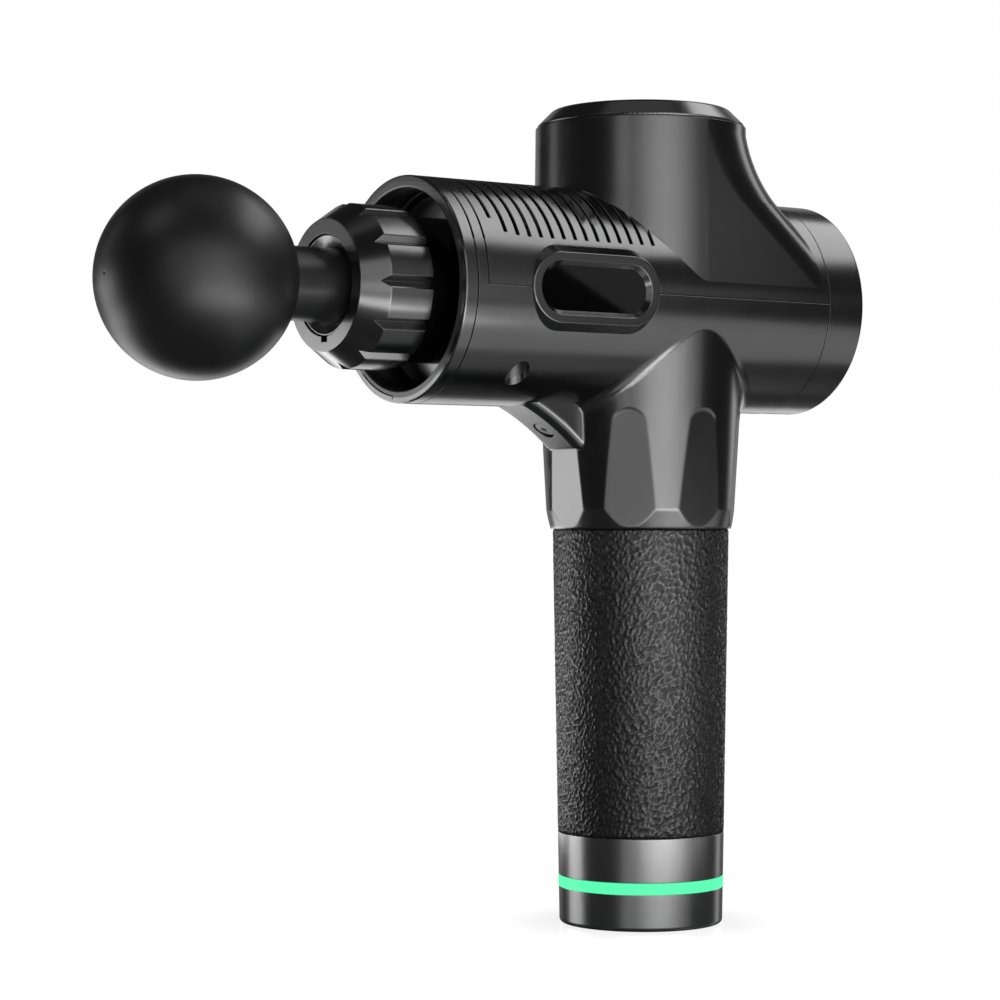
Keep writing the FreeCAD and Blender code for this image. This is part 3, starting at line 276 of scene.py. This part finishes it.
def turned_metal(name, colour, roughness, streak=2500.0):
    """Machined metal with fine turning lines and darker film in places, its edges lighter in colour,
    partly wear and partly a painted highlight.
    """
    shader = Shader(name, colour, Metallic=1.0)
    rounded, edges = shader.soft_edges(0.12 * MM)
    lines = shader.noise(1.0, 2.0, shader.stretched(streak, streak * 0.1, streak * 0.1))
    # Colour lighter along the edges: partly edge wear, partly a painted highlight where the edges catch
    # light.
    shader.tint(shader.math("ADD", shader.noise(60.0), shader.math("MULTIPLY", edges, 0.3)), 0.85, 1.1)
    shader.roughness(lines, roughness - 0.05, roughness + 0.07)
    shader.bump(lines, 0.003 * MM, rounded)
    return shader.material


def moulded(name, colour, roughness, grain=1500.0, depth=0.01 * MM, sheen=0.0):
    """Moulded plastic or rubber with a spark-eroded grain, its edges lighter in colour, partly wear and
    partly a painted highlight.
    """
    shader = Shader(name, colour, Sheen_Weight=sheen)
    rounded, edges = shader.soft_edges(0.15 * MM)
    pits = shader.noise(grain, 4.0)
    # Colour lighter along the edges: partly edge wear, partly a painted highlight where the edges catch
    # light.
    shader.tint(shader.math("ADD", shader.noise(50.0), shader.math("MULTIPLY", edges, 0.5)), 0.85, 1.2)
    shader.roughness(pits, roughness - 0.08, roughness + 0.08)
    shader.bump(pits, depth, rounded)
    return shader.material


def foam():
    """Dense skinned foam: faint pores under a matte skin that is rubbed smoother in places."""
    shader = Shader("foam", (0.008, 0.008, 0.0085), Specular_IOR_Level=0.9)
    pores = shader.cells(2600.0, "F1")
    skin = shader.noise(420.0, 5.0)
    rubbed = shader.noise(26.0, 2.0)
    shader.tint(rubbed, 0.8, 1.25)
    shader.roughness(shader.math("ADD", shader.math("MULTIPLY", rubbed, 0.6),
                                 shader.math("MULTIPLY", skin, 0.4)), 0.32, 0.46)
    shader.bump(shader.math("ADD", shader.math("MULTIPLY", pores, 0.5), skin), 0.012 * MM)
    return shader.material


def leather():
    """Grained leather: creases dull and painted dark as shade, tops lighter and polished by the hand,
    finely wrinkled.
    """
    shader = Shader("leather", (0.006, 0.006, 0.0065), Specular_IOR_Level=1.0, IOR=1.55)
    height = shader.add("Attribute", {})
    height.attribute_name = "grain"
    tops = height.outputs["Fac"]
    wrinkle = shader.noise(1900.0, 4.0)
    # Colour dark down in the creases and lighter on the tops: painted shade in the creases.
    shader.tint(shader.math("MULTIPLY", tops, shader.span(shader.noise(90.0), 0.8, 1.0)), 0.2, 1.5)
    shader.roughness(shader.math("ADD", tops, shader.math("MULTIPLY", wrinkle, -0.3)), 0.6, 0.12)
    shader.bump(wrinkle, 0.03 * MM)
    return shader.material


def black_glass():
    """Glossy display window with faint smears."""
    shader = Shader("gloss_black", (0.0008, 0.0008, 0.0009))
    shader.roughness(shader.noise(120.0), 0.01, 0.05)
    shader.tint(shader.noise(300.0), 0.8, 1.3)
    return shader.material


def glow():
    """Frosted light guide, lit from inside."""
    colour = (0.11, 1.0, 0.463)
    shader = Shader("light", tuple(part * 0.25 for part in colour), Roughness=0.4)
    shader.main.inputs["Emission Color"].default_value = (*colour, 1)
    shader.main.inputs["Emission Strength"].default_value = 0.95
    shader.roughness(shader.noise(900.0), 0.35, 0.5)
    shader.tint(shader.noise(150.0), 0.95, 1.05)
    return shader.material


def circuit_board():
    """Solder-masked board with tracks showing as lighter lines."""
    shader = Shader("board", (0.012, 0.09, 0.045))
    tracks = shader.span(shader.cells(420.0, "DISTANCE_TO_EDGE"), 1.0, 0.0, 0.02, 0.06)
    shader.tint(tracks, 0.7, 1.6)
    shader.roughness(shader.noise(800.0), 0.25, 0.4)
    shader.bump(tracks, 0.03 * MM)
    return shader.material


def windings():
    """Enamelled copper wire wound round the stator's teeth."""
    shader = Shader("copper", (0.62, 0.25, 0.1), Metallic=1.0, Coat_Weight=0.4)
    wires = shader.noise(1.0, 1.0, shader.stretched(200.0, 200.0, 3500.0))
    shader.tint(wires, 0.6, 1.15)
    shader.roughness(wires, 0.22, 0.4)
    shader.bump(wires, 0.08 * MM)
    return shader.material


def materials():
    """One procedural material for each of the record's slots."""
    dark = (0.2, 0.2, 0.203)
    return {
        "casing": bead_blasted("casing", dark, 0.22, shells=True),
        "base_alloy": bead_blasted("base_alloy", (0.42, 0.42, 0.425), 0.25),
        "bezel": bead_blasted("bezel", (0.19, 0.19, 0.193), 0.2),
        "collar": bead_blasted("collar", dark, 0.2),
        "gloss_black": black_glass(),
        "bush": moulded("bush", (0.02, 0.02, 0.021), 0.5),
        "machined_alloy": turned_metal("machined_alloy", (0.3, 0.3, 0.305), 0.25),
        "steel": turned_metal("steel", (0.5, 0.5, 0.51), 0.28),
        "screw_steel": turned_metal("screw_steel", (0.3, 0.3, 0.31), 0.3, 1500.0),
        "stem": moulded("stem", (0.02, 0.02, 0.021), 0.33, 1200.0, 0.004 * MM),
        "rubber": moulded("rubber", (0.012, 0.012, 0.012), 0.62, 900.0, 0.02 * MM, 0.1),
        "foam": foam(),
        "motor_steel": turned_metal("motor_steel", (0.22, 0.22, 0.23), 0.36),
        "copper": windings(),
        "leather": leather(),
        "inner_plastic": moulded("inner_plastic", (0.012, 0.012, 0.013), 0.55),
        "light": glow(),
        "button": moulded("button", (0.035, 0.035, 0.037), 0.4, 1800.0, 0.006 * MM),
        "board": circuit_board(),
        "cell": moulded("cell", (0.03, 0.12, 0.28), 0.3, 300.0, 0.02 * MM),
    }


# ---- meshes ----

def new_piece(name, points, faces, slot, body):
    mesh = bpy.data.meshes.new(name)
    mesh.from_pydata([tuple(point) for point in points], [], faces)
    mesh.validate()
    mesh.shade_smooth()
    mesh.materials.append(FINISH[slot])
    piece = bpy.data.objects.new(name, mesh)
    bpy.context.scene.collection.objects.link(piece)
    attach(piece, body)
    return piece


def loop_faces(columns, rows):
    """Quads of a tube of rows of points whose last row joins the first, as on a torus."""
    faces = []
    for row in range(rows):
        after = (row + 1) % rows
        for column in range(columns):
            beside = (column + 1) % columns
            faces.append((row * columns + column, row * columns + beside,
                          after * columns + beside, after * columns + column))
    return faces


def fade(t):
    return t * t * t * (t * (t * 6 - 15) + 10)


def gradient_noise(u, v, seed):
    """Smooth noise from about -1 to 1 over the plane, with one cell per unit."""
    angles = np.random.default_rng(seed).random((NOISE_TABLE, NOISE_TABLE)) * 2 * np.pi
    column = np.floor(u).astype(int)
    row = np.floor(v).astype(int)
    total = np.zeros_like(u)
    for du in (0, 1):
        for dv in (0, 1):
            angle = angles[(column + du) % NOISE_TABLE, (row + dv) % NOISE_TABLE]
            across = u - column - du
            along = v - row - dv
            weight = fade(1 - np.abs(across)) * fade(1 - np.abs(along))
            total += weight * (np.cos(angle) * across + np.sin(angle) * along)
    return total * 1.6


def strokes(u, v, lean, long, wide, seed):
    """Noise drawn out along a direction: lean in degrees from level, sizes in mm."""
    turn = math.radians(lean)
    along = u * math.cos(turn) + v * math.sin(turn)
    across = v * math.cos(turn) - u * math.sin(turn)
    bend = gradient_noise(u / 3.1, v / 3.1, seed + 1) * 0.9
    return gradient_noise(along / long, (across + bend) / wide, seed)


def leather_grain(u, v, angle):
    """Height from 0 in the creases to 1 on the tops; u and v are mm round and up the grip."""
    slanted = strokes(u, v, 52, 1.5, 0.59, 11)
    upright = strokes(u, v, 97, 1.0, 0.6, 23)
    level = strokes(u, v, 14, 1.15, 0.59, 37)
    pick = gradient_noise(u / 12, v / 12, 5)
    side = np.clip(0.5 + 1.3 * np.sin(angle - SLANT_START) + 0.6 * pick, 0, 1)
    worm = slanted * side + upright * (1 - side) + level * 0.6 * np.abs(pick)
    top = np.clip((worm + 0.38) / 0.64, 0, 1)
    swell = 0.5 + 0.5 * gradient_noise(u / 1.9, v / 2.1, 41)
    return top * top * (3 - 2 * top) * (0.7 + 0.3 * swell)


def make_leather():
    """Wrap with real relief, rolled in at both ends, its edges meeting in a seam at the back."""
    low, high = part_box("leather_sleeve")
    sleeve = NODES["leather_sleeve"].data.vertices
    ends = {}
    for name, level in (("bottom", low.z), ("top", high.z)):
        radii = [vertex.co.xy.length for vertex in sleeve if abs(vertex.co.z - level) < 0.01 * MM]
        ends[name] = max(radii)
    turn = np.linspace(-np.pi, np.pi, LEATHER_COLUMNS, endpoint=False)
    rise = np.linspace(0, 1, LEATHER_ROWS)
    length = high.z - low.z
    angle, share = np.meshgrid(turn, rise)
    base = ends["bottom"] + (ends["top"] - ends["bottom"]) * share
    around = angle * (ends["bottom"] + ends["top"]) / 2 / MM
    grain = leather_grain(around, share * length / MM, angle)
    from_seam = (np.pi - np.abs(angle)) * base
    seam = np.exp(-(from_seam / SEAM_WIDTH) ** 2)
    from_end = np.minimum(share, 1 - share) * length
    roll = np.clip(1 - from_end / LEATHER_ROLL, 0, 1) ** 2 * LEATHER_ROLL * 0.6
    radius = base - LEATHER_INSET - (1 - grain) * LEATHER_RELIEF * (1 - seam) - seam * SEAM_DEPTH - roll
    height = low.z + share * length
    outer = np.stack([radius * np.cos(angle), radius * np.sin(angle), height], -1)
    inner = []
    for level in (1.0, 0.5, 0.0):
        inner_r = ends["bottom"] + (ends["top"] - ends["bottom"]) * level - LEATHER_WALL
        inner.append(np.stack([inner_r * np.cos(turn), inner_r * np.sin(turn),
                               np.full_like(turn, low.z + level * length)], -1))
    rows = np.concatenate([outer, np.array(inner)])
    faces = loop_faces(LEATHER_COLUMNS, len(rows))
    piece = new_piece("leather_wrap", rows.reshape(-1, 3), faces, "leather", "body")
    # Grain heights for the leather's painted crease shade, zero along the seam so the seam groove is
    # painted dark as shade too.
    values = np.concatenate([grain.ravel() * (1 - seam.ravel()), np.zeros(len(inner) * LEATHER_COLUMNS)])
    field = piece.data.attributes.new("grain", "FLOAT", "POINT")
    field.data.foreach_set("value", values.astype(np.float32))
    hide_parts("leather_sleeve")


def turned_rows(outline, columns, centre_z):
    """Points of an outline of (x, radius) turned about the barrel's axis."""
    turn = np.linspace(0, 2 * np.pi, columns, endpoint=False)
    return np.array([[(x, radius * math.cos(t), centre_z + radius * math.sin(t)) for t in turn]
                     for x, radius in outline])


def make_ball():
    """Foam ball round its moulded-in stem, with a small lip where the stem goes in."""
    low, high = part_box("massage_ball")
    radius = (high.z - low.z) / 2
    axis_z = (high.z + low.z) / 2
    centre_x = high.x - radius
    stem_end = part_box("head_stem")[1].x
    flange_x = stem_end - TIP_LENGTH - ANCHOR_THICK
    lip = 0.8 * MM
    hole = STEM_RADIUS + FIT_GAP
    start = math.asin((hole + lip) / radius)
    outline = []
    for step in range(BALL_ARC_STEPS + 1):
        angle = start + (math.pi - start) * step / BALL_ARC_STEPS
        outline.append((centre_x - radius * math.cos(angle), max(radius * math.sin(angle), 0.01 * MM)))
    mouth_x = centre_x - radius * math.cos(start)
    inside = [
        (stem_end + FIT_GAP, 0.01 * MM),
        (stem_end + FIT_GAP, TIP_RADIUS + FIT_GAP),
        (flange_x + ANCHOR_THICK + FIT_GAP, TIP_RADIUS + FIT_GAP),
        (flange_x + ANCHOR_THICK + FIT_GAP, ANCHOR_RADIUS + FIT_GAP),
        (flange_x - FIT_GAP, ANCHOR_RADIUS + FIT_GAP),
        (flange_x - FIT_GAP, hole),
    ]
    rim = []
    for step in range(5):
        angle = math.pi / 2 * step / 4
        rim.append((mouth_x + lip * (1 - math.sin(angle)), hole + lip * (1 - math.cos(angle))))
    outline = outline + inside + rim[:-1]
    rows = turned_rows(outline, BALL_COLUMNS, axis_z)
    faces = loop_faces(BALL_COLUMNS, len(rows))
    piece = new_piece("foam_ball", rows.reshape(-1, 3), faces, "foam", "head")
    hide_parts("massage_ball")


# ---- stage, lights, camera ----

def make_stage():
    """Broad glossy floor, grey to the object and the lights, that glows white to the camera only, a
    little less near the base as a painted contact shadow.
    """
    half = FLOOR_HALF
    mesh = bpy.data.meshes.new("floor")
    corners = [(-half, -half, 0), (half, -half, 0), (half, half, 0), (-half, half, 0)]
    mesh.from_pydata(corners, [], [(0, 1, 2, 3)])
    floor = bpy.data.objects.new("floor", mesh)
    bpy.context.scene.collection.objects.link(floor)
    material = bpy.data.materials.new("floor")
    material.use_nodes = True
    tree = material.node_tree
    shader = tree.nodes["Principled BSDF"]
    shader.inputs["Base Color"].default_value = (FLOOR_COLOUR, FLOOR_COLOUR, FLOOR_COLOUR, 1)
    shader.inputs["Roughness"].default_value = FLOOR_ROUGHNESS
    shader.inputs["Specular IOR Level"].default_value = 1.0
    shader.inputs["Emission Color"].default_value = (1, 1, 1, 1)
    place = tree.nodes.new("ShaderNodeTexCoord")
    away = tree.nodes.new("ShaderNodeVectorMath")
    away.operation = "LENGTH"
    tree.links.new(place.outputs["Object"], away.inputs[0])
    # Glow dimmer close to the base: a painted contact shadow.
    paler = tree.nodes.new("ShaderNodeMapRange")
    paler.interpolation_type = "SMOOTHSTEP"
    paler.inputs["From Min"].default_value = SHADE_START
    paler.inputs["From Max"].default_value = SHADE_END
    paler.inputs["To Min"].default_value = SHADE_NEAR
    paler.inputs["To Max"].default_value = SHADE_AWAY
    tree.links.new(away.outputs["Value"], paler.inputs["Value"])
    path = tree.nodes.new("ShaderNodeLightPath")
    strength = tree.nodes.new("ShaderNodeMapRange")
    tree.links.new(paler.outputs["Result"], strength.inputs["To Max"])
    tree.links.new(path.outputs["Is Camera Ray"], strength.inputs["Value"])
    tree.links.new(strength.outputs["Result"], shader.inputs["Emission Strength"])
    mesh.materials.append(material)


def make_camera():
    right = Vector((math.cos(CAMERA_AZIMUTH), math.sin(CAMERA_AZIMUTH), 0))
    level = Vector((math.sin(CAMERA_AZIMUTH), -math.cos(CAMERA_AZIMUTH), 0))
    back = level * math.cos(CAMERA_LEVEL) + Vector((0, 0, math.sin(CAMERA_LEVEL)))
    place = Vector((0, 0, CAMERA_HEIGHT)) + right * CAMERA_SIDE + back * CAMERA_DISTANCE
    data = bpy.data.cameras.new("camera")
    data.lens = LENS
    data.sensor_width = SENSOR
    data.clip_start = 0.01
    data.clip_end = 200.0
    camera = bpy.data.objects.new("camera", data)
    up = back.cross(right)
    turn = Matrix((right, up, back)).transposed().to_4x4()
    camera.matrix_world = Matrix.Translation(place) @ turn
    bpy.context.scene.collection.objects.link(camera)
    bpy.context.scene.camera = camera
    return right, level


def softbox(name, angle, height, distance, size, glow, roll=0.0, aim=0.15):
    """Soft rectangular light: angle in degrees round the gun from the camera, positive to its right."""
    turn = math.radians(angle)
    side = RIGHT * math.sin(turn) + LEVEL * math.cos(turn)
    place = side * distance + Vector((0, 0, height))
    data = bpy.data.lights.new(name, "AREA")
    data.shape = "RECTANGLE"
    data.size, data.size_y = size
    data.energy = glow * math.pi * size[0] * size[1]
    light = bpy.data.objects.new(name, data)
    target = Vector((0, 0, aim)) if height > FLOOR_LIGHT else place + Vector((0, 0, 1))
    away = (place - target).normalized()
    facing = away.to_track_quat("Z", "Y").to_matrix().to_4x4()
    light.matrix_world = Matrix.Translation(place) @ facing @ Matrix.Rotation(math.radians(roll), 4, "Z")
    light.visible_camera = False
    bpy.context.scene.collection.objects.link(light)


def graded_bank():
    """Curved bank of strips on the camera's side, brightest in its middle and near the floor."""
    for angle in range(BANK_ANGLE - BANK_BEFORE, BANK_ANGLE + BANK_AFTER + 1, BANK_STEP):
        share = math.exp(-((angle - BANK_ANGLE) / BANK_SPREAD) ** 2)
        for level, (height, tall, glow) in BANK_ROWS.items():
            size = (BANK_WIDTH, tall)
            softbox(f"bank_{level}_{angle}", angle, height, BANK_DISTANCE, size, glow * share)


def make_world():
    world = bpy.data.worlds.new("studio")
    world.use_nodes = True
    tree = world.node_tree
    background = tree.nodes["Background"]
    path = tree.nodes.new("ShaderNodeLightPath")
    strength = tree.nodes.new("ShaderNodeMapRange")
    strength.inputs["To Min"].default_value = AMBIENT
    strength.inputs["To Max"].default_value = 1.0
    tree.links.new(path.outputs["Is Camera Ray"], strength.inputs["Value"])
    tree.links.new(strength.outputs["Result"], background.inputs["Strength"])
    background.inputs["Color"].default_value = (1, 1, 1, 1)
    bpy.context.scene.world = world


FINISH = materials()
for name, node in NODES.items():
    node.data.materials.clear()
    node.data.materials.append(FINISH[SLOT_OF[name]])

make_leather()
make_ball()
make_stage()
RIGHT, LEVEL = make_camera()
for box in SOFTBOXES:
    softbox(*box)
graded_bank()
make_world()
bpy.context.scene.view_settings.view_transform = "Standard"
